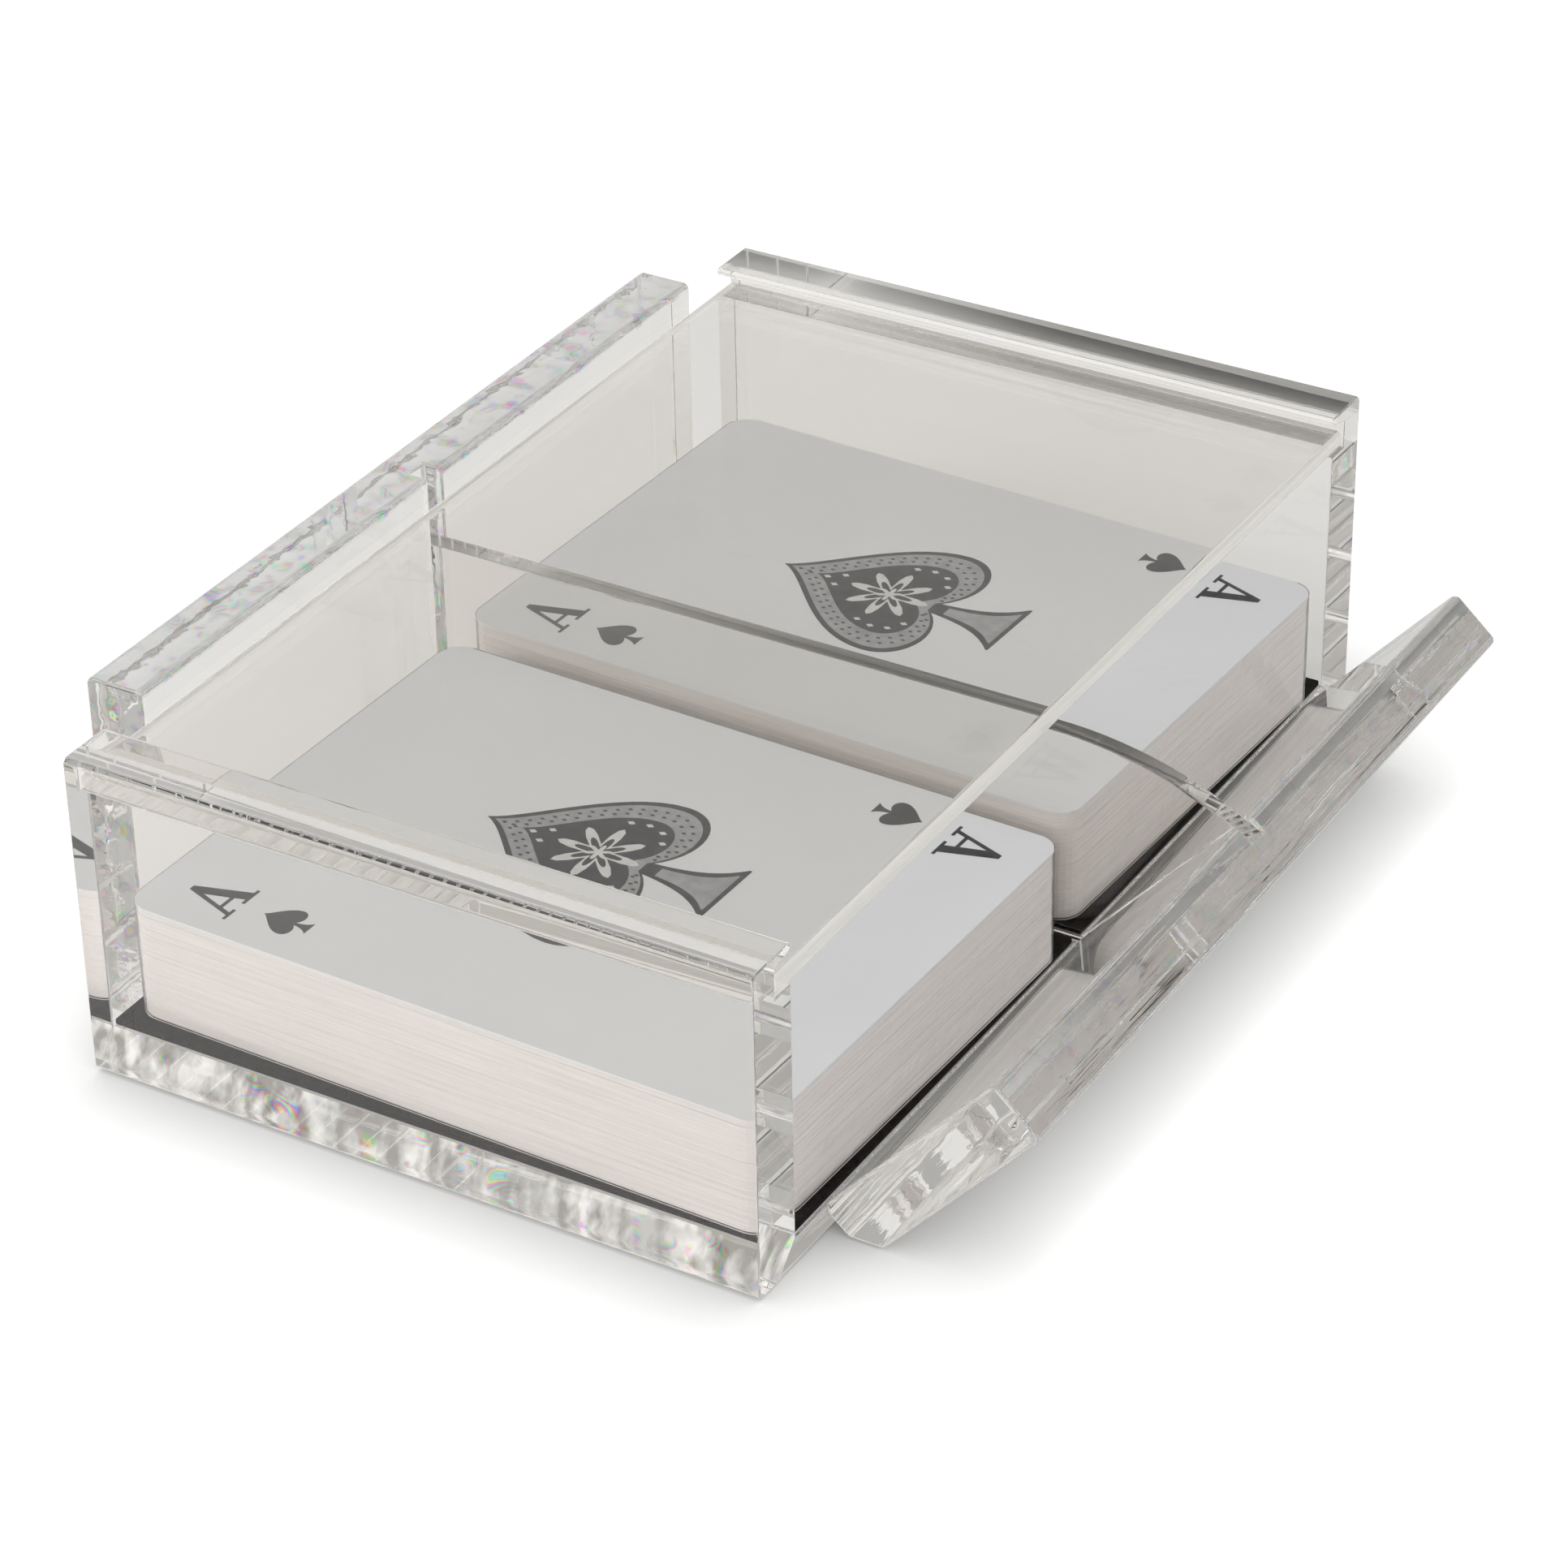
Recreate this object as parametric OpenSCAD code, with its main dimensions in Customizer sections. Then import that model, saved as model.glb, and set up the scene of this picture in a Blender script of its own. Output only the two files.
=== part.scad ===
// Clear tray for two decks of playing cards, welded up from acrylic sheet, with a lid that
// slides out of its grooves over the open end.
// Millimetres, +Z up. The origin is on the table, under the middle of the tray's outline.
// +X points to the open end with the leaning lip, +Y to the back.

/* [Cards] */
// Length of a card, along the tray
card_len = 88.9; // [80:0.1:95]
// Width of a card
card_wid = 63.5; // [50:0.05:70]
// Radius of a card's corners
card_corner = 3.2; // [2:0.1:5]
// Thickness of one card
card_t = 0.285; // [0.22:0.005:0.35]
// Cards in each deck
deck_cards = 54; // [36:1:60]
// Angle at which the front deck lies in its bay
front_turn = -1.5; // [-2:0.1:2]
// Angle at which the back deck lies in its bay
back_turn = -2; // [-2:0.1:2]
// Distance of both decks from the middle of the base, towards the lip
deck_out = 0.7; // [0:0.05:0.7]
// Distance of the front deck from the middle of its bay, towards the front wall
front_shift = 0.4; // [0:0.05:0.5]
// Thickness of the clear film in which each deck is wrapped
film_t = 0.1; // [0.05:0.05:0.3]

/* [Bays] */
// Room beside a deck, its two long sides taken together
side_play = 3.6; // [3.4:0.05:12]
// Gap between a deck and each end of the base
end_gap = 0.4; // [0.1:0.05:2]
// Height from the top of a deck to the underside of the lid
head_room = 17.5; // [11:0.1:30]

/* [Sheet] */
// Thickness of the side walls, the end wall and the lip
sheet_t = 8; // [6.5:0.5:12]
// Thickness of the base plate, whose long edges are mitred
base_t = 4; // [3:0.5:6]
// Width of the flats that ease the polished edges
ease = 0.6; // [0.2:0.05:0.7]
// Thickness of the felt in the bays
liner_t = 0.9; // [0.5:0.1:2]
// Gap round the felt
liner_gap = 0.2; // [0.1:0.05:1]

/* [Lid and grooves] */
// Thickness of the lid
lid_t = 2.5; // [2:0.25:4]
// Depth of the grooves in the side walls
groove_d = 3.4; // [2:0.1:4]
// Clearance over the lid in its grooves
lid_play = 1.1; // [0.4:0.1:2]
// Clearance beside the lid in each groove
lid_side = 0.3; // [0.1:0.05:0.8]
// Clearance between the closed lid and the end wall that stops it
lid_stop = 0.1; // [0.05:0.05:0.5]
// Thickness of the rim over the groove, at its root
rim_root = 1.9; // [1.5:0.1:3]
// Thickness of the rim over the groove, at its tip
rim_tip = 0.95; // [0.7:0.05:1.4]

/* [End wall and lip] */
// Gap between a side wall and the ends of the end wall and the lip
end_inset = 7; // [2:0.5:15]
// Height of the end wall over the side walls
end_rise = 0.85; // [0:0.05:2]
// Angle between the lip and the table
lip_angle = 48; // [42:1:54]
// Length of the lip's inner face, up its slope
lip_face = 31.5; // [24:0.5:33]
// How far the lip reaches down past the top edge of the base, along its slope
lip_weld = 1.2; // [0.8:0.1:2]

/* [Divider] */
// Thickness of the divider
div_t = 2.8; // [2:0.1:5]
// Depth of the slots that take the divider's ends
slot_d = 2.8; // [1.5:0.1:4]
// Height of the divider's top over its end on the lip
div_rise = 7.7; // [4:0.1:10]
// Distance inside the walls' ends at which the divider's top begins to curve down
curve_in = 4; // [0:0.5:20]
// Least gap between the divider and the lid
div_lid_gap = 1; // [0.5:0.1:4]

/* [Hidden] */
$fn = 96;
overcut = 1;

// Plan: the cards set the bays, and the bays set the tray
largest_turn = max(abs(front_turn), abs(back_turn));
deck_reach = 2 * ((card_len / 2 - card_corner) * cos(largest_turn)
                + (card_wid / 2 - card_corner) * sin(largest_turn) + card_corner + film_t);
tray_len = deck_reach + 2 * end_gap;
bay_wid = card_wid + side_play;
inner_y = bay_wid + div_t / 2;
outer_y = inner_y + sheet_t;
end_len = 2 * (inner_y - end_inset);
bay_mid = (div_t + bay_wid) / 2;

// Heights: base, felt, film, deck, head room, lid and rim, one on the other
deck_h = deck_cards * card_t;
wrap_z = base_t + liner_t;
deck_z = wrap_z + film_t;
lid_z = deck_z + deck_h + head_room;
groove_roof = lid_z + lid_t + lid_play;
wall_h = groove_roof + rim_root;

// Points of the lip's section, by the distance up its slope and the depth into its sheet
function lip_at(up, deep) = [up * cos(lip_angle) + deep * sin(lip_angle),
                             base_t + up * sin(lip_angle) - deep * cos(lip_angle)];
lip_end_x = max(lip_at(lip_face, sheet_t - ease)[0], lip_at(lip_face - ease, sheet_t)[0]);

// The divider's top runs level, then down an arc that ends on the lip, at the bottom of its slot
arc_end = lip_at(lip_face, slot_d);
div_top = min(arc_end[1] + div_rise, lid_z - div_lid_gap);
arc_run = arc_end[0] + curve_in;
arc_drop = div_top - arc_end[1];
arc_r = (arc_run * arc_run + arc_drop * arc_drop) / (2 * arc_drop);

// The pieces are drawn from the walls' right ends, and moved so that the outline is centred
mouth_x = (tray_len + sheet_t - lip_end_x) / 2;
deck_mid = mouth_x - tray_len / 2 + deck_out;

clear = [0.86, 0.9, 0.92, 0.35];
felt = [0.1, 0.08, 0.07];
card_white = [0.93, 0.92, 0.9];
card_edge = [0.87, 0.84, 0.82];
film = [0.95, 0.95, 0.95, 0.2];

// A section in Y and Z, drawn out along the tray
module along_tray(length) {
    rotate([90, 0, 90]) translate([0, 0, -length]) linear_extrude(height = length) children();
}

// A section in X and Z, drawn out across the tray
module across_tray(width) {
    rotate([90, 0, 0]) linear_extrude(height = width, center = true) children();
}

module eased_rectangle(w, h) {
    polygon([[ease, 0], [w - ease, 0], [w, ease], [w, h - ease],
             [w - ease, h], [ease, h], [0, h - ease], [0, ease]]);
}

// Wall section: a foot mitred to meet the base, and a groove whose roof opens a little inwards
module wall_section() {
    tip_ease = ease / 2;
    polygon([[inner_y + base_t, 0], [inner_y, base_t],
             [inner_y, lid_z], [inner_y + groove_d, lid_z], [inner_y + groove_d, groove_roof],
             [inner_y, wall_h - rim_tip], [inner_y, wall_h - tip_ease],
             [inner_y + tip_ease, wall_h], [outer_y - ease, wall_h], [outer_y, wall_h - ease],
             [outer_y, ease], [outer_y - ease, 0]]);
}

module side_wall() {
    translate([mouth_x, 0, 0]) along_tray(tray_len) wall_section();
}

// Slab section, square cut at both ends, then trimmed to weld to the base and stand on the table
module lip_section() {
    intersection() {
        polygon([lip_at(-lip_weld, 0), lip_at(lip_face - ease, 0), lip_at(lip_face, ease),
                 lip_at(lip_face, sheet_t - ease), lip_at(lip_face - ease, sheet_t),
                 lip_at(-lip_weld, sheet_t)]);
        square([lip_end_x + overcut, wall_h]);
    }
}

// Everything over the bottom of the lip's slot
module lip_slot_section() {
    polygon([lip_at(-2 * sheet_t, slot_d), lip_at(lip_face + overcut, slot_d),
             lip_at(lip_face + overcut, -overcut), lip_at(-2 * sheet_t, -overcut)]);
}

module divider_section() {
    left_x = -tray_len - slot_d;
    intersection() {
        translate([left_x, base_t]) square([arc_end[0] - left_x, div_top - base_t]);
        polygon([[left_x, 0], lip_at(0, slot_d), lip_at(lip_face, slot_d), [left_x, 2 * wall_h]]);
        union() {
            translate([left_x, 0]) square([-curve_in - left_x, wall_h]);
            translate([-curve_in, div_top - arc_r]) circle(r = arc_r, $fn = 360);
        }
    }
}

// A card's outline, or a line round it at a distance
module card_outline(around = 0) {
    square([card_len - 2 * card_corner, card_wid + 2 * around], center = true);
    square([card_len + 2 * around, card_wid - 2 * card_corner], center = true);
    for (sx = [-1, 1], sy = [-1, 1])
        translate([sx * (card_len / 2 - card_corner), sy * (card_wid / 2 - card_corner)])
            circle(r = card_corner + around);
}

// Where the decks lie: towards the lip, the front one a little nearer its wall
module in_front_bay(z) {
    translate([deck_mid, -bay_mid - front_shift, z]) rotate([0, 0, front_turn]) children();
}

module in_back_bay(z) {
    translate([deck_mid, bay_mid, z]) rotate([0, 0, back_turn]) children();
}

module deck_block() {
    linear_extrude(height = deck_h - card_t) card_outline();
}

module top_card() {
    linear_extrude(height = card_t) card_outline();
}

// Film drawn tight round a deck and its top card, closed on every side
module wrapper() {
    difference() {
        linear_extrude(height = deck_h + 2 * film_t) card_outline(film_t);
        translate([0, 0, film_t]) linear_extrude(height = deck_h) card_outline();
    }
}

module liner() {
    translate([mouth_x - tray_len + liner_gap, div_t / 2 + liner_gap, base_t])
        cube([tray_len - 2 * liner_gap, bay_wid - 2 * liner_gap, liner_t]);
}

module base_plate() {
    color(clear) translate([mouth_x, 0, 0]) along_tray(tray_len)
        polygon([[-inner_y - base_t, 0], [inner_y + base_t, 0], [inner_y, base_t], [-inner_y, base_t]]);
}

module front_side_wall() {
    color(clear) mirror([0, 1, 0]) side_wall();
}

module back_side_wall() {
    color(clear) side_wall();
}

// Stands on the table against the end of the base, and stops the lid
module left_end_wall() {
    color(clear) translate([mouth_x - tray_len, 0, 0]) difference() {
        translate([-sheet_t, 0, 0]) across_tray(end_len) eased_rectangle(sheet_t, wall_h + end_rise);
        translate([-slot_d, -div_t / 2, -overcut])
            cube([slot_d + overcut, div_t, wall_h + end_rise + 2 * overcut]);
    }
}

module right_lip() {
    color(clear) translate([mouth_x, 0, 0]) difference() {
        across_tray(end_len) lip_section();
        across_tray(div_t) lip_slot_section();
    }
}

module divider() {
    color(clear) translate([mouth_x, 0, 0]) across_tray(div_t) divider_section();
}

// Lies on the groove floors, flush with the walls at the open end
module sliding_lid() {
    lid_len = tray_len - lid_stop;
    lid_wid = 2 * (inner_y + groove_d - lid_side);
    color(clear) translate([mouth_x - lid_len, 0, lid_z]) across_tray(lid_wid)
        eased_rectangle(lid_len, lid_t);
}

module front_liner() {
    color(felt) mirror([0, 1, 0]) liner();
}

module back_liner() {
    color(felt) liner();
}

module front_deck() {
    color(card_edge) in_front_bay(deck_z) deck_block();
}

module back_deck() {
    color(card_edge) in_back_bay(deck_z) deck_block();
}

module front_top_card() {
    color(card_white) in_front_bay(deck_z + deck_h - card_t) top_card();
}

module back_top_card() {
    color(card_white) in_back_bay(deck_z + deck_h - card_t) top_card();
}

module front_wrapper() {
    color(film) in_front_bay(wrap_z) wrapper();
}

module back_wrapper() {
    color(film) in_back_bay(wrap_z) wrapper();
}

base_plate();
front_side_wall();
back_side_wall();
left_end_wall();
right_lip();
divider();
sliding_lid();
front_liner();
back_liner();
front_deck();
back_deck();
front_top_card();
back_top_card();
front_wrapper();
back_wrapper();
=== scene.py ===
# %% [markdown]
# # A clear tray for two decks of cards
# The tray is welded up from polished acrylic sheet: a base, two grooved side walls, an end wall,
# a leaning lip and a thin divider, with a loose lid in the grooves, felt in the bays and a deck of
# cards on each felt. The solids come from the CAD frame. This lesson gives each of them its finish:
# eased edges, clear acrylic that bends light, felt, cut paper, printed faces and thin film.

# %% Load the frame
import math

import bmesh
import bpy
from mathutils import Matrix, Vector
from mathutils.geometry import tessellate_polygon


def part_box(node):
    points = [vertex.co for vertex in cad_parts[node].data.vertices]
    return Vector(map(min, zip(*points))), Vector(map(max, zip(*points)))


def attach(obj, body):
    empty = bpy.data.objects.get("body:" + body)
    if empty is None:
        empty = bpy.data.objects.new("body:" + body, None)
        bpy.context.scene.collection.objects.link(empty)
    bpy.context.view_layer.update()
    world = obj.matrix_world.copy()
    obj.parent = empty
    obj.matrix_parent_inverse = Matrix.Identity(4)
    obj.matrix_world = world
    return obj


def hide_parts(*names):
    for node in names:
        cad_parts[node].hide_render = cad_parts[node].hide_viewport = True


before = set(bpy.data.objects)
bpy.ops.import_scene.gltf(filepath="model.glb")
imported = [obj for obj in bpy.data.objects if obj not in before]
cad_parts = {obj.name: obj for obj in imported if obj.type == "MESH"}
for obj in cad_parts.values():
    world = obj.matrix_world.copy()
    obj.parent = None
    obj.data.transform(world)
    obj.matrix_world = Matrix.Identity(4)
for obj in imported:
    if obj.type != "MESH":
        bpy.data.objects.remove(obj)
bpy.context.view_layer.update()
MM = 0.001
scene = bpy.context.scene
scene.view_settings.view_transform = "Standard"

# %% [markdown]
# ## Camera
# The photograph was taken with a long lens from the front right, about 32 degrees up, and the camera
# was tilted a little. A camera could be aimed by eye, but corners of the tray are easy to find in the
# picture, so the place, the turn and the lens were solved from them and are simply written down here.

# %% Camera
EYE = Vector((265.56, -450.25, 339.89)) * MM
RIGHT = Vector((0.86212, 0.50645, -0.01594))
DOWN = Vector((0.2557, -0.462, -0.84922))
FORWARD = Vector((-0.43745, 0.72806, -0.52779))

lens_data = bpy.data.cameras.new("photo_camera")
lens_data.sensor_fit = "HORIZONTAL"
lens_data.sensor_width = 36.0
lens_data.lens = 114.27
lens_data.clip_start = 0.01
lens_data.clip_end = 20.0
camera = bpy.data.objects.new("photo_camera", lens_data)
turn = Matrix((RIGHT, -DOWN, -FORWARD)).transposed()
camera.matrix_world = Matrix.LocRotScale(EYE, turn.to_quaternion(), None)
scene.collection.objects.link(camera)
scene.camera = camera
print("camera", [round(c, 3) for c in EYE], "lens", lens_data.lens)

# %% [markdown]
# ## Node helpers
# Every finish below is a small node tree. Writing each link by hand hides the idea of a material, so
# short helpers make a material, add a node with its values, join two sockets and show the result.
# Two more do sums with sockets or plain numbers and mix two shaders, which several finishes need.

# %% Node helpers
def new_material(name):
    material = bpy.data.materials.new(name)
    material.use_nodes = True
    material.node_tree.nodes.clear()
    return material


def add(owner, kind, **values):
    node = owner.node_tree.nodes.new(kind)
    for key, value in values.items():
        socket = node.inputs.get(key.replace("_", " "))
        if socket is None:
            setattr(node, key, value)
        else:
            socket.default_value = value
    return node


def join(owner, start, end):
    owner.node_tree.links.new(start, end)


def show(material, shader):
    output = add(material, "ShaderNodeOutputMaterial")
    join(material, shader, output.inputs["Surface"])


def maths(owner, operation, first, second, clamp=False):
    node = add(owner, "ShaderNodeMath", operation=operation, use_clamp=clamp)
    for socket, value in zip(node.inputs, (first, second)):
        if isinstance(value, float):
            socket.default_value = value
        else:
            join(owner, value, socket)
    return node.outputs[0]


def mixed(owner, share, first, second):
    node = add(owner, "ShaderNodeMixShader")
    join(owner, share, node.inputs["Fac"])
    join(owner, first, node.inputs[1])
    join(owner, second, node.inputs[2])
    return node.outputs["Shader"]


print("node helpers are ready")

# %% [markdown]
# ## Pattern helpers
# Nearly every finish needs the same patterns: a noise, a ramp that turns it into colours, and a bump
# that turns it into a relief. The noise reads Object coordinates, so it stays on its piece when the
# piece moves, and it can be stretched, which makes streaks. Two colours can also be multiplied, all
# over or by a share.

# %% Pattern helpers
def noise(material, scale, detail=3.0, stretch=(1, 1, 1)):
    place = add(material, "ShaderNodeTexCoord")
    mapping = add(material, "ShaderNodeMapping")
    mapping.inputs["Scale"].default_value = stretch
    pattern = add(material, "ShaderNodeTexNoise", Scale=scale, Detail=detail)
    join(material, place.outputs["Object"], mapping.inputs["Vector"])
    join(material, mapping.outputs["Vector"], pattern.inputs["Vector"])
    return pattern.outputs["Fac"]


def stops(owner, fac, places):
    node = add(owner, "ShaderNodeValToRGB")
    elements = node.color_ramp.elements
    for extra in range(len(places) - len(elements)):
        elements.new(1.0)
    for element, (position, colour) in zip(elements, places):
        element.position = position
        element.color = (*colour, 1)
    join(owner, fac, node.inputs["Fac"])
    return node.outputs["Color"]


def ramp(owner, fac, low, high, start=0.3, end=0.7):
    return stops(owner, fac, ((start, low), (end, high)))


def grey(value):
    return (value, value, value)


def bump(material, height, distance, strength=1.0):
    node = add(material, "ShaderNodeBump", Distance=distance, Strength=strength)
    join(material, height, node.inputs["Height"])
    return node.outputs["Normal"]


def multiplied(owner, first, second, share=None):
    node = add(owner, "ShaderNodeMix", data_type="RGBA", blend_type="MULTIPLY")
    node.inputs["Factor"].default_value = 1.0
    if share is not None:
        join(owner, share, node.inputs["Factor"])
    join(owner, first, node.inputs[6])
    join(owner, second, node.inputs[7])
    return node.outputs[2]


print("pattern helpers are ready")

# %% [markdown]
# ## Clear acrylic
# Acrylic bends light by an index of 1.49 and has almost no colour. A glass shader alone would make
# the inside dark and noisy, because a lamp's light can't find its way through bent glass. So rays
# that only carry light to the cards and the felt pass straight through, and rays that are seen bend.
# A finish then differs by its waves, by a little frost that scatters light, and by painted spots of
# rainbow colour in the glass that stand in for the colours an edge throws like a prism.

# %% Clear acrylic
ACRYLIC_INDEX = 1.49
TINT = (0.955, 0.94, 0.92, 1)
LIGHT_TINT = (0.955, 0.955, 0.95, 1)
PAINTED_PRISM_SPOT = 1.5 * MM
HUES = 9.0


def carries_light(material):
    ray = add(material, "ShaderNodeLightPath").outputs
    return maths(material, "MAXIMUM", ray["Is Shadow Ray"], ray["Is Diffuse Ray"])


# Painted spots of rainbow hue that stand in for the colours an edge throws like a prism.
def painted_prism_colour(material, size, strength):
    colour = add(material, "ShaderNodeCombineColor", mode="HSV")
    turns = maths(material, "MULTIPLY", noise(material, 0.4 / size, 0.0), HUES)
    join(material, maths(material, "FRACT", turns, 0.0), colour.inputs[0])
    spots = noise(material, 0.5 / size, 1.0)
    join(material, ramp(material, spots, grey(0), grey(strength), 0.54, 0.66), colour.inputs[1])
    colour.inputs[2].default_value = TINT[0]
    return colour.outputs["Color"]


def acrylic(name, wave_size, wave_height, stretch=(1, 1, 1), frost=0.0, prism=0.0):
    material = new_material(name)
    glass = add(material, "ShaderNodeBsdfPrincipled", Roughness=0.0, IOR=ACRYLIC_INDEX)
    glass.inputs["Base Color"].default_value = TINT
    glass.inputs["Transmission Weight"].default_value = 1.0 - frost
    if prism:
        join(material, painted_prism_colour(material, PAINTED_PRISM_SPOT, prism), glass.inputs["Base Color"])
    waves = noise(material, 1.0 / wave_size, 2.0, stretch)
    join(material, bump(material, waves, wave_height), glass.inputs["Normal"])
    open_air = add(material, "ShaderNodeBsdfTransparent", Color=LIGHT_TINT)
    straight = carries_light(material)
    show(material, mixed(material, straight, glass.outputs["BSDF"], open_air.outputs["BSDF"]))
    return material


print("acrylic: index", ACRYLIC_INDEX, "tint", TINT[:3])

# %% [markdown]
# ## Faces and edges of the sheet
# The big faces are cast against glass and stay almost flat. The edges were cut, and each tells how:
# the walls' were polished, the lid's ends were left matt from the saw, the end wall's were flamed and
# are wavy, and the lip's were scraped, so its long edge is streaked and its ends flow. One finish
# for all of them would look like moulded glass. Each is the same acrylic with other waves, so the
# same function makes them all.

# %% Faces and edges of the sheet
sheet_face = acrylic("acrylic_sheet_face", 40 * MM, 0.003 * MM)
sawn_edge = acrylic("acrylic_sawn_edge", 30 * MM, 0.003 * MM, frost=0.03)
matt_edge = acrylic("acrylic_matt_edge", 3 * MM, 0.01 * MM, frost=0.65)
chipped_edge = acrylic("acrylic_chipped_edge", 4 * MM, 0.09 * MM, frost=0.03, prism=0.6)
streaky_edge = acrylic("acrylic_streaky_edge", 0.9 * MM, 0.05 * MM, (1, 0.02, 1), 0.02, 0.25)
flowing_edge = acrylic("acrylic_flowing_edge", 5 * MM, 0.07 * MM, frost=0.02)
sheet_finishes = (sheet_face, sawn_edge, matt_edge, chipped_edge, streaky_edge, flowing_edge)
print("sheet finishes:", [material.name for material in sheet_finishes])

# %% [markdown]
# ## Welds
# Where two sheets are welded they are one piece of acrylic, so a weld lets everything through. One
# weld shows: along the front the solvent left a cloudy, speckled strip between the base and the wall.
# It is a diffuse layer, clear in places, with grains and painted spots of rainbow colour like a prism's.
# Rays that reach it after several reflections would smear it over the wall's rim, so only the first looks
# see it.

# %% Welds
weld = new_material("acrylic_weld")
show(weld, add(weld, "ShaderNodeBsdfTransparent").outputs["BSDF"])

SEAM_GRAIN = 2.6 * MM
SEAM_CLOUD = 8 * MM
SEAM_SPOT = 1.8 * MM
FIRST_LOOKS = 2.5

seam = new_material("acrylic_seam")
grains = noise(seam, 1.0 / SEAM_GRAIN, 3.0, (1, 0.4, 0.4))
grain_tone = ramp(seam, grains, (0.34, 0.323, 0.2958), (1, 0.99, 0.97), 0.38, 0.58)
cloud = add(seam, "ShaderNodeBsdfDiffuse")
# The seam's colour carries painted spots of rainbow colour like a prism's.
join(seam, multiplied(seam, painted_prism_colour(seam, SEAM_SPOT, 0.7), grain_tone), cloud.inputs["Color"])
cloudy = ramp(seam, noise(seam, 1.0 / SEAM_CLOUD, 3.0), grey(0.3), grey(0.8), 0.4, 0.6)
depth = add(seam, "ShaderNodeLightPath").outputs["Ray Depth"]
at_first = maths(seam, "MULTIPLY", cloudy, maths(seam, "LESS_THAN", depth, FIRST_LOOKS))
seam_share = maths(seam, "SUBTRACT", at_first, carries_light(seam), clamp=True)
no_seam = add(seam, "ShaderNodeBsdfTransparent")
show(seam, mixed(seam, seam_share, no_seam.outputs["BSDF"], cloud.outputs["BSDF"]))
print("welds:", weld.name, seam.name)

# %% [markdown]
# ## Shaping helpers
# The CAD solids already have the right outlines, grooves and slots, so each clear piece starts from
# a copy of its solid. The copy is merged, because a CAD mesh is loose triangles, and its flat faces
# are joined up again. Then every sharp edge gets a small round, since real sheet is eased and
# polished, and such a round is what catches the light. A round is shaded smooth, but a flat face must
# keep flat normals to its border, or clear sheet would bend the view behind it like a lens. Faces that
# touch another piece draw back by a few hundredths of a millimetre, or two surfaces in one place
# would confuse the bent light.

# %% Shaping helpers
AIR = 0.04 * MM
SAME_PLACE = 0.001 * MM
MITRE_AREA = 100 * MM * MM
FLAT_ANGLE = math.radians(0.5)
SHARP_ANGLE = math.radians(25)


def copy_solid(node):
    shape = bmesh.new()
    shape.from_mesh(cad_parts[node].data)
    bmesh.ops.remove_doubles(shape, verts=shape.verts, dist=2 * SAME_PLACE)
    bmesh.ops.dissolve_limit(shape, angle_limit=FLAT_ANGLE, verts=shape.verts, edges=shape.edges)
    return shape


def draw_back(shape, axis, low=0.0, high=0.0):
    places = [v.co[axis] for v in shape.verts]
    least, most = min(places), max(places)
    for v in shape.verts:
        if v.co[axis] < least + SAME_PLACE:
            v.co[axis] += low
        elif v.co[axis] > most - SAME_PLACE:
            v.co[axis] -= high


def is_mitre(face):
    slant = abs(face.normal.y) > 0.7 and abs(face.normal.z) > 0.7
    return slant and face.calc_area() > MITRE_AREA


def round_edges(shape, radius):
    shape.normal_update()
    sharp = []
    for edge in shape.edges:
        if len(edge.link_faces) == 2 and edge.calc_face_angle() > SHARP_ANGLE:
            if not any(is_mitre(face) for face in edge.link_faces):
                sharp.append(edge)
    made = bmesh.ops.bevel(shape, geom=sharp, offset=radius, offset_type="OFFSET", segments=4,
                           profile=0.5, affect="EDGES", clamp_overlap=True)
    rounds = set(made["faces"])
    shape.normal_update()
    for face in shape.faces:
        face.smooth = face in rounds
        if not face.smooth:
            for edge in face.edges:
                edge.smooth = False


def finish_mesh(name, shape, materials):
    mesh = bpy.data.meshes.new(name)
    shape.to_mesh(mesh)
    shape.free()
    for material in materials:
        mesh.materials.append(material)
    piece = bpy.data.objects.new(name, mesh)
    scene.collection.objects.link(piece)
    return piece


print("touching faces draw back by", AIR / MM, "mm")

# %% [markdown]
# ## Acrylic pieces
# Seven pieces are cut from sheet. A face along the sheet is cast, a slanted one is a weld, and the
# rest are edges, so one rule finds each face's finish from the way it faces. The edge's finish and the
# size of its round belong to the piece.

# %% Acrylic pieces
LIP_ANGLE = math.radians(48)
LIP_NORMAL = (-math.sin(LIP_ANGLE), 0, math.cos(LIP_ANGLE))


def acrylic_finish(node, face, across, edge):
    if is_mitre(face):
        return seam if node == "base_plate" and face.normal.y < 0 else weld
    if node == "right_lip" and abs(face.normal.y) > 0.9:
        return flowing_edge
    if node == "sliding_lid" and abs(face.normal.x) > 0.3:
        return matt_edge
    return sheet_face if abs(face.normal.dot(across)) > 0.999 else edge


def clear_piece(node, body, sheet_normal, edge, radius, backs=()):
    shape = copy_solid(node)
    for axis, low, high in backs:
        draw_back(shape, axis, low, high)
    round_edges(shape, radius)
    across = Vector(sheet_normal).normalized()
    used = []
    for face in shape.faces:
        finish = acrylic_finish(node, face, across, edge)
        if finish not in used:
            used.append(finish)
        face.material_index = used.index(finish)
    piece = finish_mesh(node + "_clear", shape, used)
    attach(piece, body)
    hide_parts(node)
    print(piece.name, len(piece.data.polygons), "faces,", len(used), "finishes")


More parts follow.
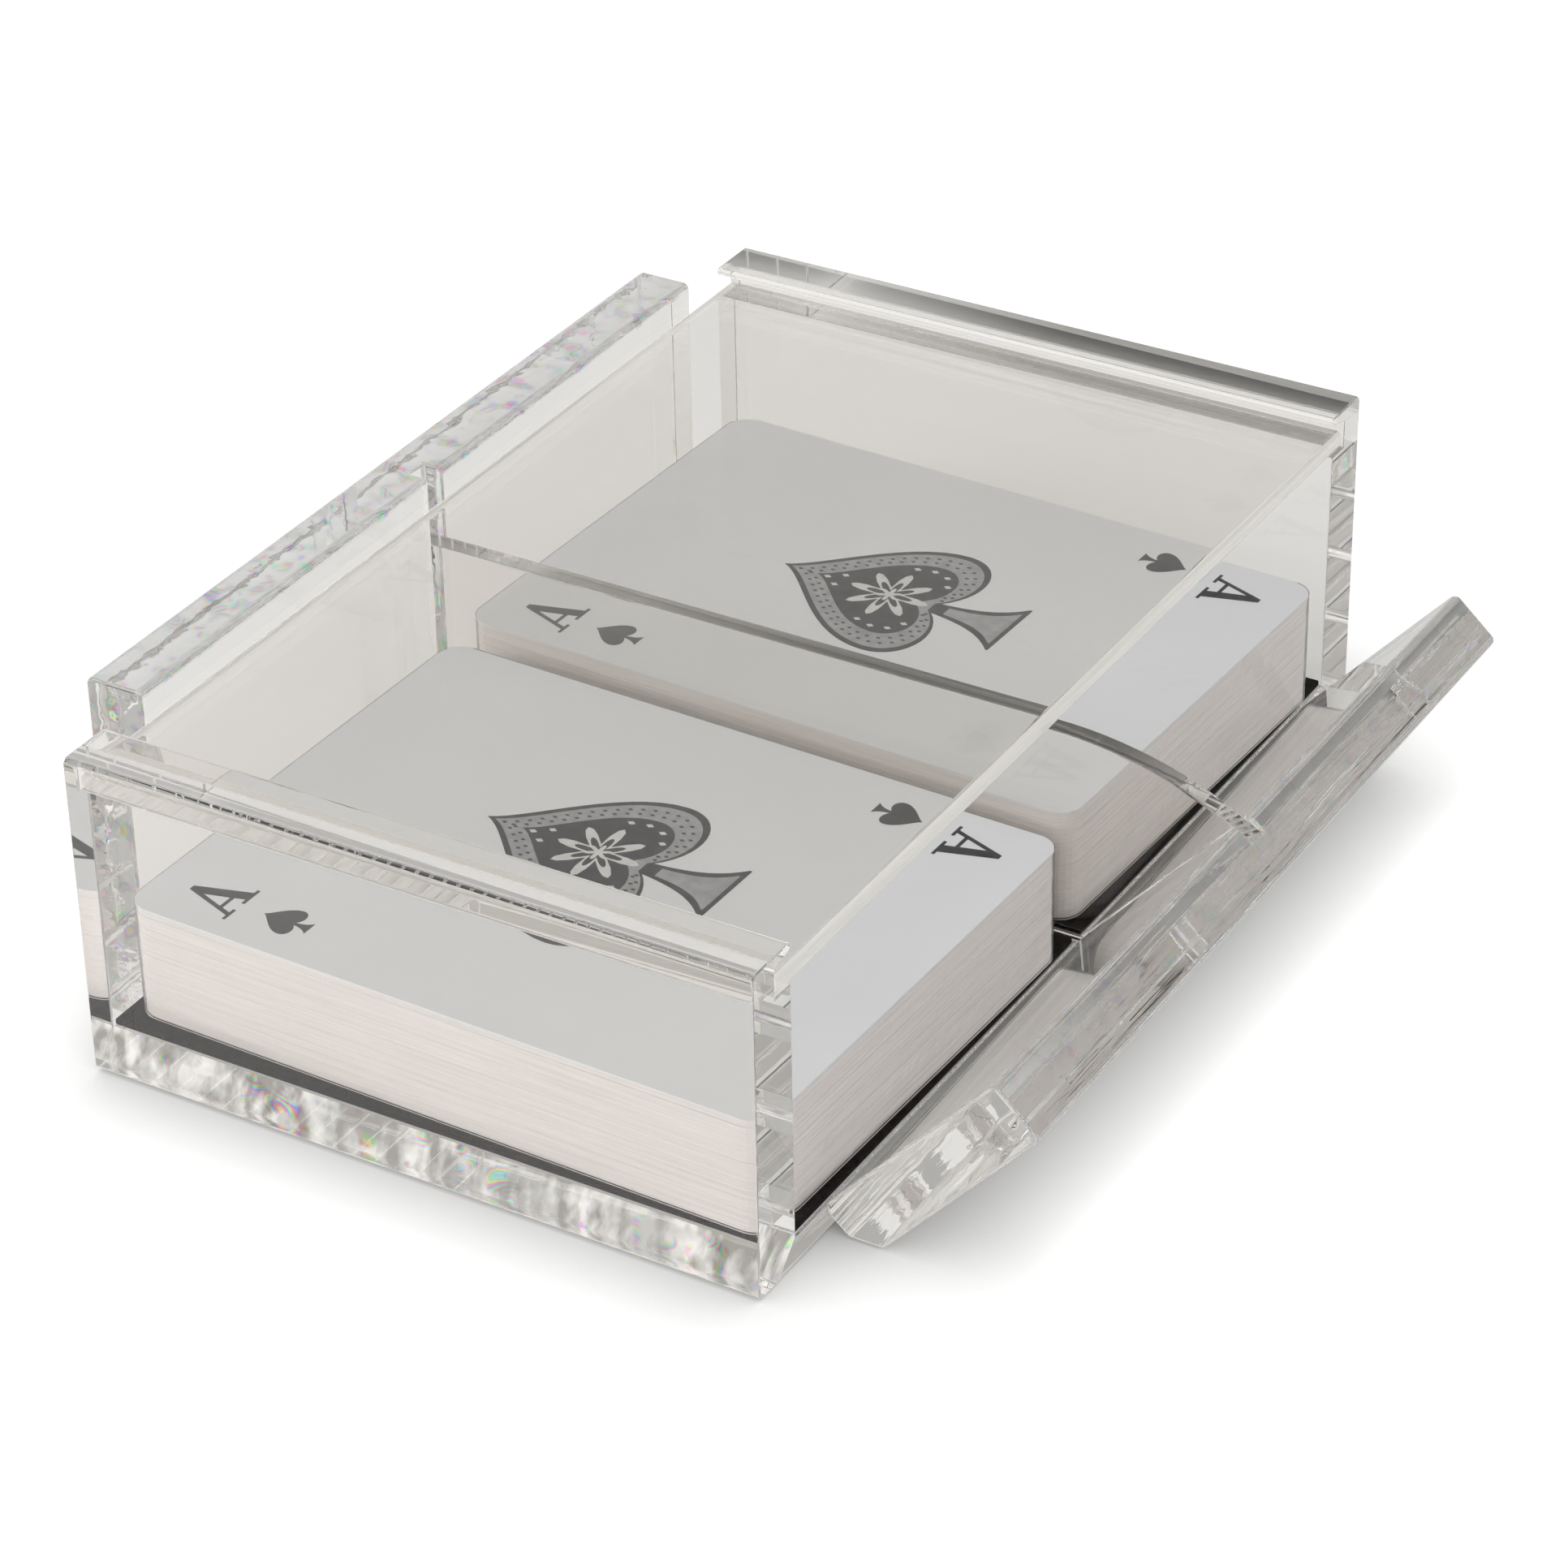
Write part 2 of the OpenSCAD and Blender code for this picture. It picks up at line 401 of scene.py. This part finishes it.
clear_piece("base_plate", "tray", (0, 0, 1), sawn_edge, 0.3 * MM,
            [(0, AIR, AIR), (1, AIR, AIR), (2, 0, AIR)])
clear_piece("front_side_wall", "tray", (0, 1, 0), sawn_edge, 0.5 * MM)
clear_piece("back_side_wall", "tray", (0, 1, 0), sawn_edge, 0.5 * MM)
clear_piece("left_end_wall", "tray", (1, 0, 0), chipped_edge, 0.8 * MM)
clear_piece("right_lip", "tray", LIP_NORMAL, streaky_edge, 0.6 * MM)
clear_piece("divider", "tray", (0, 1, 0), sawn_edge, 0.25 * MM, [(0, AIR, 0), (1, AIR, AIR)])
clear_piece("sliding_lid", "lid", (0, 0, 1), sawn_edge, 0.35 * MM, [(2, AIR, AIR)])

# %% [markdown]
# ## Felt
# The bays are lined with thin felt, almost black with a warm cast. Felt has no weave: it is a mat of
# short fibres, so a fine noise makes its bump, a coarser one its slight change of tone, and a little
# sheen gives the soft edge that a nap shows at a flat angle. It lies flat on the base, so its solid is
# only softened at the edges.

# %% Felt liners
felt = new_material("felt")
felt_shader = add(felt, "ShaderNodeBsdfPrincipled", Roughness=1.0)
felt_shader.inputs["Sheen Weight"].default_value = 0.04
felt_shader.inputs["Sheen Roughness"].default_value = 0.6
felt_shader.inputs["Specular IOR Level"].default_value = 0.0
felt_tone = ramp(felt, noise(felt, 900, 4), (0.006, 0.005, 0.005), (0.02, 0.016, 0.015))
join(felt, felt_tone, felt_shader.inputs["Base Color"])
join(felt, bump(felt, noise(felt, 4200, 4), 0.25 * MM), felt_shader.inputs["Normal"])
show(felt, felt_shader.outputs["BSDF"])


def felt_liner(node):
    shape = copy_solid(node)
    draw_back(shape, 2, AIR, 0)
    round_edges(shape, 0.25 * MM)
    piece = finish_mesh(node + "_felt", shape, (felt,))
    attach(piece, "tray")
    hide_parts(node)
    print(piece.name, len(piece.data.polygons), "faces")


felt_liner("front_liner")
felt_liner("back_liner")

# %% [markdown]
# ## Paper
# The sides of a deck are cut paper: pale, a little warm, with fine level streaks where the cards
# meet. The streaks are a noise that is stretched along the card and squeezed across the stack. The
# face is cooler and has a smooth coat with a very faint grain. Ink is never one even tone, so a fine
# noise varies each of the three inks.

# %% Paper finishes
cut_edge = new_material("card_cut_edge")
edge_shader = add(cut_edge, "ShaderNodeBsdfPrincipled", Roughness=0.75)
streaks = noise(cut_edge, 60, 4, (1, 1, 50))
edge_tone = ramp(cut_edge, streaks, (0.71, 0.67, 0.66), (0.82, 0.78, 0.77))
edge_grain = noise(cut_edge, 900, 2, (1, 1, 4))
join(cut_edge, edge_tone, edge_shader.inputs["Base Color"])
join(cut_edge, bump(cut_edge, edge_grain, 0.05 * MM), edge_shader.inputs["Normal"])
show(cut_edge, edge_shader.outputs["BSDF"])

card_face = new_material("card_face")
face_shader = add(card_face, "ShaderNodeBsdfPrincipled", Roughness=0.38)
face_tone = ramp(card_face, noise(card_face, 40, 2), (0.735, 0.745, 0.765), (0.76, 0.77, 0.79))
join(card_face, face_tone, face_shader.inputs["Base Color"])
join(card_face, bump(card_face, noise(card_face, 1500, 1), 0.01 * MM), face_shader.inputs["Normal"])
show(card_face, face_shader.outputs["BSDF"])


def ink(name, low, high):
    material = new_material(name)
    shader = add(material, "ShaderNodeBsdfPrincipled", Roughness=0.42)
    join(material, ramp(material, noise(material, 700, 3), low, high), shader.inputs["Base Color"])
    show(material, shader.outputs["BSDF"])
    return material


dark_ink = ink("ink_dark", (0.035, 0.036, 0.04), (0.06, 0.06, 0.065))
grey_ink = ink("ink_grey", (0.30, 0.30, 0.31), (0.40, 0.40, 0.41))
pale_ink = ink("ink_pale", (0.62, 0.62, 0.61), (0.72, 0.72, 0.71))
print("paper:", [m.name for m in (cut_edge, card_face, dark_ink, grey_ink, pale_ink)])

# %% [markdown]
# ## Card stacks
# A deck is one shape repeated: a card with round corners, over and over, each a hair out of line with
# the last. An array modifier would line them up too well. Geometry Nodes make the card once, put it
# on a row of points and give each its own small shift and turn from a seeded random value.

# %% One card and its shifts
CORNER_STEPS = 6
STACK_INPUTS = (("Cards", "Int"), ("Length", "Float"), ("Width", "Float"), ("Corner", "Float"),
                ("Pitch", "Float"), ("Thickness", "Float"), ("Shift", "Float"), ("Turn", "Float"),
                ("Seed", "Int"))


def step(tree, kind, **sources):
    node = tree.nodes.new(kind)
    for name, socket in sources.items():
        tree.links.new(socket, node.inputs[name.replace("_", " ")])
    return node


def rounded_card(tree, given):
    outline = step(tree, "GeometryNodeCurvePrimitiveQuadrilateral",
                   Width=given["Length"], Height=given["Width"])
    corners = step(tree, "GeometryNodeFilletCurve",
                   Curve=outline.outputs["Curve"], Radius=given["Corner"])
    corners.mode = "POLY"
    corners.inputs["Count"].default_value = CORNER_STEPS
    fill = step(tree, "GeometryNodeFillCurve", Curve=corners.outputs["Curve"])
    fill.mode = "NGONS"
    thick = step(tree, "GeometryNodeExtrudeMesh",
                 Mesh=fill.outputs["Mesh"], Offset_Scale=given["Thickness"])
    under = step(tree, "GeometryNodeFlipFaces", Mesh=fill.outputs["Mesh"])
    whole = step(tree, "GeometryNodeJoinGeometry", Geometry=thick.outputs["Mesh"])
    tree.links.new(under.outputs["Mesh"], whole.inputs["Geometry"])
    card = step(tree, "GeometryNodeMergeByDistance", Geometry=whole.outputs["Geometry"])
    card.inputs["Distance"].default_value = 0.005 * MM
    return card.outputs["Geometry"]


def scattered(tree, seed, least, most, amount):
    chance = step(tree, "FunctionNodeRandomValue")
    chance.data_type = "FLOAT_VECTOR"
    chance.inputs[0].default_value = least
    chance.inputs[1].default_value = most
    tree.links.new(seed, chance.inputs["Seed"])
    scaled = step(tree, "ShaderNodeVectorMath")
    scaled.operation = "SCALE"
    tree.links.new(chance.outputs[0], scaled.inputs[0])
    tree.links.new(amount, scaled.inputs["Scale"])
    return scaled.outputs["Vector"]


print("a stack takes", [title for title, kind in STACK_INPUTS])

# %% [markdown]
# ### The tree
# The row of points rises by one card's thickness at a time. Each point is pushed a little along the
# table, each card on it is turned a little, and the turn's seed is one more than the push's, so that
# the two don't go together.

# %% Card stack tree
def card_stack_tree():
    tree = bpy.data.node_groups.new("card_stack", "GeometryNodeTree")
    for title, kind in STACK_INPUTS:
        tree.interface.new_socket(name=title, in_out="INPUT", socket_type="NodeSocket" + kind)
    tree.interface.new_socket(name="Geometry", in_out="OUTPUT", socket_type="NodeSocketGeometry")
    given = step(tree, "NodeGroupInput").outputs
    rise = step(tree, "ShaderNodeCombineXYZ", Z=given["Pitch"])
    row = step(tree, "GeometryNodeMeshLine", Count=given["Cards"], Offset=rise.outputs["Vector"])
    push = scattered(tree, given["Seed"], (-1, -1, 0), (1, 1, 0), given["Shift"])
    places = step(tree, "GeometryNodeSetPosition", Geometry=row.outputs["Mesh"], Offset=push)
    next_seed = step(tree, "ShaderNodeMath")
    next_seed.inputs[1].default_value = 1.0
    tree.links.new(given["Seed"], next_seed.inputs[0])
    swing = scattered(tree, next_seed.outputs[0], (0, 0, -1), (0, 0, 1), given["Turn"])
    stack = step(tree, "GeometryNodeInstanceOnPoints", Points=places.outputs["Geometry"],
                 Instance=rounded_card(tree, given), Rotation=swing)
    real = step(tree, "GeometryNodeRealizeInstances", Geometry=stack.outputs["Instances"])
    paper = step(tree, "GeometryNodeSetMaterial", Geometry=real.outputs["Geometry"])
    paper.inputs["Material"].default_value = cut_edge
    step(tree, "NodeGroupOutput", Geometry=paper.outputs["Geometry"])
    return tree


stack_tree = card_stack_tree()
print("tree", stack_tree.name, len(stack_tree.nodes), "nodes")

# %% [markdown]
# ### Two decks
# A deck in the tray has one card on top with a face, and 53 under it that show only their edges. The
# stack is fitted to the CAD solid's height and turned as the deck lies in its bay.

# %% Card stacks
CARD_LENGTH = 88.9 * MM
CARD_WIDTH = 63.5 * MM
CARD_CORNER = 3.2 * MM
CARDS_UNDER_TOP = 53
CARD_SHARE = 0.985
STACK_PLAY = 0.3 * MM
CARD_SHIFT = 0.05 * MM
CARD_TURN = math.radians(0.03)
STACK_RISE = 0.01 * MM
DECK_TURN = {"front": math.radians(-1.5), "back": math.radians(-2.0)}


def deck_place(side):
    low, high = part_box(side + "_deck")
    middle = Vector(((low.x + high.x) / 2, (low.y + high.y) / 2, 0))
    return Matrix.Translation(middle) @ Matrix.Rotation(DECK_TURN[side], 4, "Z")


def card_stack(side, seed):
    low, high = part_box(side + "_deck")
    pitch = (high.z - low.z) / CARDS_UNDER_TOP
    source = side + "_stack_source"
    carrier = bpy.data.objects.new(source, bpy.data.meshes.new(source))
    scene.collection.objects.link(carrier)
    modifier = carrier.modifiers.new("stack", "NODES")
    modifier.node_group = stack_tree
    values = {"Cards": CARDS_UNDER_TOP, "Length": CARD_LENGTH - STACK_PLAY,
              "Width": CARD_WIDTH - STACK_PLAY, "Corner": CARD_CORNER, "Pitch": pitch,
              "Thickness": pitch * CARD_SHARE, "Shift": CARD_SHIFT, "Turn": CARD_TURN, "Seed": seed}
    for socket in stack_tree.interface.items_tree:
        if socket.in_out == "INPUT":
            modifier[socket.identifier] = values[socket.name]
    graph = bpy.context.evaluated_depsgraph_get()
    mesh = bpy.data.meshes.new_from_object(carrier.evaluated_get(graph), depsgraph=graph)
    carrier.modifiers.remove(modifier)
    bpy.data.objects.remove(carrier)
    mesh.materials.clear()
    mesh.materials.append(cut_edge)
    for polygon in mesh.polygons:
        polygon.material_index = 0
    mesh.transform(deck_place(side) @ Matrix.Translation((0, 0, low.z + STACK_RISE)))
    mesh.name = side + "_deck_cards"
    piece = bpy.data.objects.new(mesh.name, mesh)
    scene.collection.objects.link(piece)
    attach(piece, side + "_deck_body")
    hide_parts(side + "_deck")
    print(piece.name, len(mesh.polygons), "faces")


card_stack("front", 7)
card_stack("back", 19)

# %% [markdown]
# ## Printed faces
# Each deck shows an ace: a big spade in the middle and a letter with a small spade in two corners.
# A picture file would be the usual way. Here the print is drawn as outlines, so it stays sharp at any
# size: curves give the spade, straight strokes the letter, and each is filled, given a thickness of a
# few thousandths of a millimetre and laid on the card. Outlines are drawn one unit high and sized
# when they are placed.

# %% Outlines
def curve(start, first, second, end, steps=14):
    points = []
    for i in range(steps):
        t = i / steps
        s = 1 - t
        weights = (s**3, 3 * s * s * t, 3 * s * t * t, t**3)
        parts = list(zip(weights, (start, first, second, end)))
        points.append(tuple(sum(weight * point[k] for weight, point in parts) for k in (0, 1)))
    return points


def both_sides(right):
    left = [(-a, b) for a, b in reversed(right) if abs(a) > 1e-6]
    return right + left


def spade_leaf():
    right = curve((0, 0.5), (0.05, 0.37), (0.405, 0.17), (0.405, -0.09))
    right += curve((0.405, -0.09), (0.405, -0.26), (0.17, -0.32), (0.03, -0.17))
    right += [(0.03, -0.17), (0.0, -0.17)]
    return both_sides(right)


def spade_stem():
    right = [(0.0, -0.14)] + curve((0.035, -0.14), (0.05, -0.31), (0.08, -0.41), (0.17, -0.49))
    right += [(0.17, -0.49), (0.17, -0.5), (0.0, -0.5)]
    return both_sides(right)


LETTER = [[(0.0, 0.0), (0.3, 0.0), (0.3, 0.06), (0.2, 0.06), (0.252, 0.23), (0.56, 0.23), (0.61, 0.06),
           (0.5, 0.06), (0.5, 0.0), (0.92, 0.0), (0.92, 0.06), (0.83, 0.06), (0.53, 1.0), (0.42, 1.0),
           (0.11, 0.06), (0.0, 0.06)],
          [(0.275, 0.3), (0.535, 0.3), (0.415, 0.72)]]


def moved(loops, size, a, b, half_turn=False):
    sign = -1 if half_turn else 1
    return [[(sign * (x * size + a), sign * (y * size + b)) for x, y in loop] for loop in loops]


print("leaf", len(spade_leaf()), "points, stem", len(spade_stem()), "points, letter", len(LETTER), "loops")

# %% [markdown]
# ### Ornament
# A plain spade would be a black blot of this size, so it gets a grey band with rows of small lozenges
# and a rosette in its middle. The rows follow the spade's own outline, made smaller, at even steps,
# and leave out the place where the rosette lies.

# %% Ornament
LOZENGE = ((0, 1), (-0.7, 0), (0, -1), (0.7, 0))
PETAL_STEPS = 8
FLOWER_UP = 0.03
FLOWER_CLEARING = 0.2


def along(loop, gap):
    points, left = [], 0.0
    for start, end in zip(loop, loop[1:] + loop[:1]):
        first, last = Vector(start), Vector(end)
        length = (last - first).length
        while left < length:
            points.append(first.lerp(last, left / length))
            left += gap
        left -= length
    return points


def lozenge(point, size):
    return [(point[0] + size * a, point[1] + size * b) for a, b in LOZENGE]


def rosette(petals, radius):
    loop = []
    for i in range(petals * PETAL_STEPS):
        angle = math.tau * i / (petals * PETAL_STEPS)
        reach = radius * (0.66 + 0.34 * math.cos(petals * angle))
        loop.append((reach * math.cos(angle), reach * math.sin(angle)))
    return loop


def lozenge_row(size, gap, mark):
    leaf = moved([spade_leaf()], size, 0, FLOWER_UP * (1 - size))[0]
    flower = Vector((0, FLOWER_UP))
    free = [point for point in along(leaf, gap) if (point - flower).length >= FLOWER_CLEARING]
    return [lozenge(point, mark) for point in free]


print("a rosette of 8 petals has", len(rosette(8, 1.0)), "points")

# %% [markdown]
# ### Printing
# Each outline becomes a very thin solid of ink. Later layers lie a hair higher than earlier ones, as
# ink on ink does, so no two surfaces share a place.

# %% Printed cards
SPADE = 34.0 * MM
PIP = 6.6 * MM
LETTER_HEIGHT = 7.6 * MM
INDEX_IN = 6.5 * MM
LETTER_DOWN = 8.7 * MM
PIP_DOWN = 19.0 * MM
INK = 0.004 * MM
DARK, GREY, PALE = 1, 2, 3


def print_shape(shape, loops, place, top, finish):
    flat = [point for loop in loops for point in loop]
    fans = tessellate_polygon([[Vector((a, b, 0)) for a, b in loop] for loop in loops])
    upper = [shape.verts.new(place @ Vector((-b, a, top))) for a, b in flat]
    lower = [shape.verts.new(place @ Vector((-b, a, top - INK))) for a, b in flat]
    made = []
    for i, j, k in fans:
        made.append(shape.faces.new((upper[i], upper[j], upper[k])))
        made.append(shape.faces.new((lower[k], lower[j], lower[i])))
    start = 0
    for loop in loops:
        for i in range(len(loop)):
            here, after = start + i, start + (i + 1) % len(loop)
            made.append(shape.faces.new((upper[here], upper[after], lower[after], lower[here])))
        start += len(loop)
    bmesh.ops.recalc_face_normals(shape, faces=made)
    for face in made:
        face.material_index = finish


def dark_shapes():
    corner_a = -(CARD_WIDTH / 2 - INDEX_IN)
    letter_b = CARD_LENGTH / 2 - LETTER_DOWN
    pip_b = CARD_LENGTH / 2 - PIP_DOWN
    shapes = [moved([spade_leaf()], SPADE, 0, 0), moved([spade_stem()], SPADE, 0, 0)]
    for half_turn in (False, True):
        shapes.append(moved(LETTER, LETTER_HEIGHT, corner_a - 0.45 * LETTER_HEIGHT,
                            letter_b - 0.5 * LETTER_HEIGHT, half_turn))
        shapes.append(moved([spade_leaf()], PIP, corner_a, pip_b, half_turn))
        shapes.append(moved([spade_stem()], PIP, corner_a, pip_b, half_turn))
    return shapes


def ornament():
    marks = []
    for layer, (size, finish) in enumerate(((0.93, GREY), (0.68, DARK)), start=2):
        leaf = moved([spade_leaf()], SPADE * size, 0, SPADE * FLOWER_UP * (1 - size))
        marks.append((leaf, layer, finish))
    marks.append((moved([spade_stem()], SPADE * 0.72, 0, -SPADE * 0.12), 2, GREY))
    rows = ((0.845, 0.045, 0.011, DARK), (0.76, 0.045, 0.011, DARK), (0.585, 0.07, 0.017, PALE))
    for size, gap, mark, finish in rows:
        for loop in lozenge_row(size, gap, mark):
            marks.append((moved([loop], SPADE, 0, 0), 4, finish))
    flowers = ((8, 0.17, PALE), (8, 0.10, DARK), (6, 0.05, PALE))
    for layer, (petals, size, finish) in enumerate(flowers, start=4):
        marks.append((moved([rosette(petals, size)], SPADE, 0, FLOWER_UP * SPADE), layer, finish))
    return marks


def ace(side):
    node = side + "_top_card"
    low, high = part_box(node)
    shape = copy_solid(node)
    place = deck_place(side)
    for number, loops in enumerate(dark_shapes()):
        print_shape(shape, loops, place, high.z + INK * (1 + 0.1 * number), DARK)
    for loops, layer, finish in ornament():
        print_shape(shape, loops, place, high.z + INK * layer, finish)
    piece = finish_mesh(node + "_printed", shape, (card_face, dark_ink, grey_ink, pale_ink))
    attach(piece, side + "_deck_body")
    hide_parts(node)
    print(piece.name, len(piece.data.polygons), "faces")


ace("front")
ace("back")

# %% [markdown]
# ## Film
# Each deck is still wrapped in thin clear film. A sheet with two sides a tenth of a millimetre apart
# would bend every ray four times for nothing, so the film is one closed skin that lets light straight
# through and mirrors a little of it, most at a flat angle. Creases come from a bump in its mirror.

# %% Film
FILM_INDEX = 1.42
CREASE_HEIGHT = 0.5 * MM
FILM_DRAW_BACK = 0.03 * MM

film = new_material("wrapping_film")
gloss = add(film, "ShaderNodeBsdfGlossy", Roughness=0.12)
through = add(film, "ShaderNodeBsdfTransparent", Color=(0.99, 0.99, 0.99, 1))
mirror = add(film, "ShaderNodeFresnel", IOR=FILM_INDEX)
crease = bump(film, noise(film, 160, 3), CREASE_HEIGHT, 0.6)
join(film, crease, gloss.inputs["Normal"])
join(film, crease, mirror.inputs["Normal"])
film_shine = maths(film, "SUBTRACT", mirror.outputs["Fac"], carries_light(film), clamp=True)
show(film, mixed(film, film_shine, through.outputs["BSDF"], gloss.outputs["BSDF"]))


def outer_skin(shape):
    todo = set(shape.verts)
    groups = []
    while todo:
        group, reached = set(), [todo.pop()]
        while reached:
            vert = reached.pop()
            group.add(vert)
            for edge in vert.link_edges:
                other = edge.other_vert(vert)
                if other in todo:
                    todo.discard(other)
                    reached.append(other)
        groups.append(group)
    groups.sort(key=lambda group: max(v.co.z for v in group))
    for group in groups[:-1]:
        bmesh.ops.delete(shape, geom=list(group), context="VERTS")


def wrapper(side):
    node = side + "_wrapper"
    shape = copy_solid(node)
    outer_skin(shape)
    draw_back(shape, 2, FILM_DRAW_BACK, 0.0)
    piece = finish_mesh(node + "_film", shape, (film,))
    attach(piece, side + "_deck_body")
    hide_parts(node)
    print(piece.name, len(piece.data.polygons), "faces")


wrapper("front")
wrapper("back")

# %% [markdown]
# ## Floor
# The tray stands on a white sweep, a big flat sheet just under it. Seen directly, half of the floor is
# its own white, which an ambient occlusion node darkens where the tray closes it in, as a painted
# contact shadow, and half is the light that falls on it, so it keeps a real soft shadow too. Plain white
# card would do for a solid object, but clear acrylic shows the floor in its edges: there the painted
# contact shadow is lifted on the side of the lamp and kept as painted shade round the tray's far
# corner, and the far floor counts for more than the near.

# %% Floor sheet
FLOOR_HALF = 4.0
FLOOR_DROP = 0.3 * MM

floor_mesh = bpy.data.meshes.new("floor")
floor_shape = bmesh.new()
bmesh.ops.create_grid(floor_shape, x_segments=1, y_segments=1, size=FLOOR_HALF)
bmesh.ops.translate(floor_shape, verts=floor_shape.verts, vec=(0, 0, -FLOOR_DROP))
floor_shape.to_mesh(floor_mesh)
floor_shape.free()
floor = bpy.data.objects.new("floor", floor_mesh)
scene.collection.objects.link(floor)
print("floor", 2 * FLOOR_HALF, "m wide")

# %% [markdown]
# ### White of the floor
# Rays that come through or off the acrylic are told from direct looks. The shaded corner of the tray
# is a place on the floor, and distance from it tells the lit side: near that corner the painted contact
# shadow stays as painted shade for those rays, and away from it the painted shade is lifted.

# %% White of the floor
# Centre of the painted shade that the floor keeps round the tray's far corner for rays through acrylic.
PAINTED_SHADE_CORNER = (35 * MM, 45 * MM, 0)

white_floor = new_material("floor_white")
plain = add(white_floor, "ShaderNodeBsdfDiffuse", Color=(0.8, 0.8, 0.8, 1))
half_lit = add(white_floor, "ShaderNodeBsdfDiffuse", Color=(0.34, 0.34, 0.34, 1))
# Ambient occlusion darkens the floor's own white near the tray: a painted contact shadow.
painted_contact_ao = add(white_floor, "ShaderNodeAmbientOcclusion", Distance=14 * MM, samples=12)
own_white = add(white_floor, "ShaderNodeEmission", Strength=0.80)
seen_white = add(white_floor, "ShaderNodeAddShader")
join(white_floor, half_lit.outputs["BSDF"], seen_white.inputs[0])
join(white_floor, own_white.outputs["Emission"], seen_white.inputs[1])

ray = add(white_floor, "ShaderNodeLightPath").outputs
by_acrylic = maths(white_floor, "MAXIMUM", ray["Is Glossy Ray"], ray["Is Transmission Ray"])
floor_place = add(white_floor, "ShaderNodeTexCoord").outputs["Object"]

# Near this corner the painted contact shadow stays as painted shade for acrylic rays; elsewhere it is
# lifted.
from_shade = add(white_floor, "ShaderNodeVectorMath", operation="DISTANCE")
from_shade.inputs[1].default_value = PAINTED_SHADE_CORNER
join(white_floor, floor_place, from_shade.inputs[0])
painted_lit_side = ramp(white_floor, from_shade.outputs["Value"], grey(0), grey(1), 0.060, 0.085)
lifted = maths(white_floor, "MULTIPLY", by_acrylic, painted_lit_side)
painted_contact_shade = maths(white_floor, "MAXIMUM", painted_contact_ao.outputs["AO"], lifted)
join(white_floor, painted_contact_shade, own_white.inputs["Color"])

far_off = add(white_floor, "ShaderNodeVectorMath", operation="LENGTH")
join(white_floor, floor_place, far_off.inputs[0])
far_share = ramp(white_floor, far_off.outputs["Value"], grey(0.3), grey(1.0), 0.17, 0.25)
partly = maths(white_floor, "MULTIPLY", by_acrylic, far_share)
looks = maths(white_floor, "MAXIMUM", ray["Is Camera Ray"], partly)
show(white_floor, mixed(white_floor, looks, plain.outputs["BSDF"], seen_white.outputs["Shader"]))
floor_mesh.materials.append(white_floor)
print(white_floor.name, len(white_floor.node_tree.nodes), "nodes")

# %% [markdown]
# ## Lamps
# A large soft lamp stands at the front left, a weak one hangs overhead, and a fill stands at the right.
# Small hard lamps would put stray glare on the sheet, and even soft ones show as squares in polished
# acrylic, so they light the scene and are hidden from mirrors and from bent rays.

# %% Lamps
AIM = Vector((0, 0, 20))
LAMPS = {
    "front_softbox": ((-450, -950, 480), (700, 500), 8.6),
    "overhead_softbox": ((-100, 250, 1000), (900, 700), 0.5),
    "right_fill": ((900, 100, 450), (400, 500), 1.4),
}

for name, (place, size, power) in LAMPS.items():
    lamp = bpy.data.lights.new(name, "AREA")
    lamp.shape = "RECTANGLE"
    lamp.size = size[0] * MM
    lamp.size_y = size[1] * MM
    lamp.energy = power
    stand = bpy.data.objects.new(name, lamp)
    stand.location = Vector(place) * MM
    stand.rotation_euler = (AIM - Vector(place)).to_track_quat("-Z", "Y").to_euler()
    stand.visible_glossy = False
    stand.visible_transmission = False
    scene.collection.objects.link(stand)
    print(name, power, "W")

# %% [markdown]
# ## Room
# What acrylic shows is mostly what is round it, so an even grey world would make dull edges. The room
# is warm white low down, grey at half height and bright overhead, with soft dark and light patches
# that become lines in the edges. The flat sheets mirror only one band of height, and there the
# patches are held off, so that the sheets stay calm.

# %% Room
ROOM_TONES = ((0.0, (1.0, 0.96, 0.91)), (0.62, (0.56, 0.56, 0.55)), (0.76, (1.15, 1.15, 1.12)))
PATCH_TONES = ((0.45, (0.10, 0.09, 0.08)), (0.50, grey(1.35)))
PATCHED_HEIGHTS = ((0.30, grey(1)), (0.42, grey(0)), (0.64, grey(0)), (0.76, grey(1)))
PATCH_SCALE = 3.2
ROOM_STRENGTH = 0.7

world = bpy.data.worlds.new("grey_room")
scene.world = world
world.use_nodes = True
direction = add(world, "ShaderNodeTexCoord").outputs["Generated"]
axes = add(world, "ShaderNodeSeparateXYZ")
join(world, direction, axes.inputs["Vector"])
height = axes.outputs["Z"]
patch = add(world, "ShaderNodeTexNoise", Scale=PATCH_SCALE, Detail=0.0)
join(world, direction, patch.inputs["Vector"])
room_tone = stops(world, height, ROOM_TONES)
patch_tone = stops(world, patch.outputs["Fac"], PATCH_TONES)
room = multiplied(world, room_tone, patch_tone, stops(world, height, PATCHED_HEIGHTS))
background = world.node_tree.nodes["Background"]
join(world, room, background.inputs["Color"])
background.inputs["Strength"].default_value = ROOM_STRENGTH
print("room", world.name, len(world.node_tree.nodes), "nodes")

# %% [markdown]
# ## Bounces
# A ray in a thick edge is thrown to and fro many times before it comes out. With the usual few bounces
# the edges would end in black, so bent and mirrored rays may go on for long.

# %% Bounces
scene.cycles.use_denoising = True
scene.cycles.max_bounces = 64
scene.cycles.transmission_bounces = 64
scene.cycles.glossy_bounces = 64
scene.cycles.transparent_max_bounces = 32
print("bounces", scene.cycles.max_bounces)
